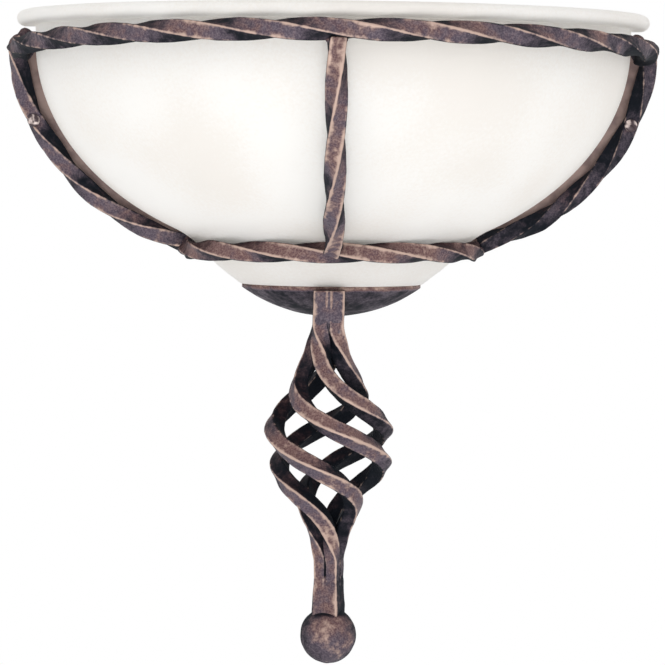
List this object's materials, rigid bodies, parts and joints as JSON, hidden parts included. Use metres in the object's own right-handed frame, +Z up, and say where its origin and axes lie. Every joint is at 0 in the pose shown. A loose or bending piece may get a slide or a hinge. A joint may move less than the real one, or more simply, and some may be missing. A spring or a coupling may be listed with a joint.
{
  "type": "uplighter wall light",
  "caption": "Wrought-iron uplighter wall light: twisted-bar cage holding a half bowl of opal glass, with a hanging twisted basket and ball finial.",
  "frame": {"origin": "on the wall, on the light's centre line, at the height of the two side screws", "axes": "+Z up, the light stands out from the wall along -Y, +X to the viewer's right"},
  "size_m": [0.3531, 0.1929, 0.3447],
  "materials": {
    "antique_iron": "antique bronze patina, dark brown-black with edges rubbed to copper",
    "brown_iron": "smooth satin brown",
    "screw_steel": "dulled steel",
    "opal_glass": "satin opal, nearly opaque",
    "zinc_steel": "bright zinc plate",
    "brass": "plain turned",
    "black_resin": "moulded matt",
    "white_resin": "moulded matt",
    "black_rubber": "matt",
    "brown_insulation": "satin",
    "blue_insulation": "satin",
    "green_insulation": "satin",
    "cap_metal": "plain",
    "lamp_glass": "satin opal"
  },
  "bodies": {
    "wall_bracket": {"crossbar": "zinc_steel", "rivet_nuts": "zinc_steel", "cable_grommet": "black_rubber", "terminal_block": "white_resin", "terminal_tubes": "brass", "terminal_screws": "brass", "earth_screw": "zinc_steel", "earth_tag": "brass", "lamp_arm": "zinc_steel", "arm_screws": "zinc_steel", "nipple": "brass", "lock_nut": "brass", "holder_base": "black_resin", "holder_sleeve": "black_resin", "contact_carrier": "white_resin", "screw_shell": "brass", "centre_contact": "brass", "live_lead": "brown_insulation", "neutral_lead": "blue_insulation", "earth_lead": "green_insulation"},
    "front": {"top_ring": "antique_iron", "lower_ring": "antique_iron", "centre_rib": "antique_iron", "left_rib": "antique_iron", "right_rib": "antique_iron", "bottom_dish": "antique_iron", "strand_1": "antique_iron", "strand_2": "antique_iron", "strand_3": "antique_iron", "strand_4": "antique_iron", "neck_block": "antique_iron", "ball_finial": "antique_iron", "back_frame": "brown_iron", "side_screws": "screw_steel"},
    "shade": {"glass_bowl": "opal_glass"},
    "lamp_foot": {"lamp_contact": "cap_metal"},
    "lamp": {"lamp_insulator": "black_resin", "lamp_cap": "cap_metal", "lamp_globe": "lamp_glass"}
  },
  "joints": [
    {"name": "front_off", "type": "slide", "parent": "wall_bracket", "child": "front", "axis": [0, -1, 0], "range_m": [0, 0.2]},
    {"name": "shade_lift", "type": "slide", "parent": "front", "child": "shade", "axis": [0, 0, 1], "range_m": [0, 0.015]},
    {"name": "lamp_rise", "type": "slide", "parent": "wall_bracket", "child": "lamp_foot", "axis": [0, 0, 1], "range_m": [0, 0.0218]},
    {"name": "lamp_turn", "type": "hinge", "parent": "lamp_foot", "child": "lamp", "pos_m": [0, -0.056, -0.02], "axis": [0, 0, 1], "range_deg": [0, 2160]}
  ],
  "couplings": [
    {"joint": "lamp_rise", "follows": "lamp_turn", "m_per_rad": 0.00057757}
  ]
}
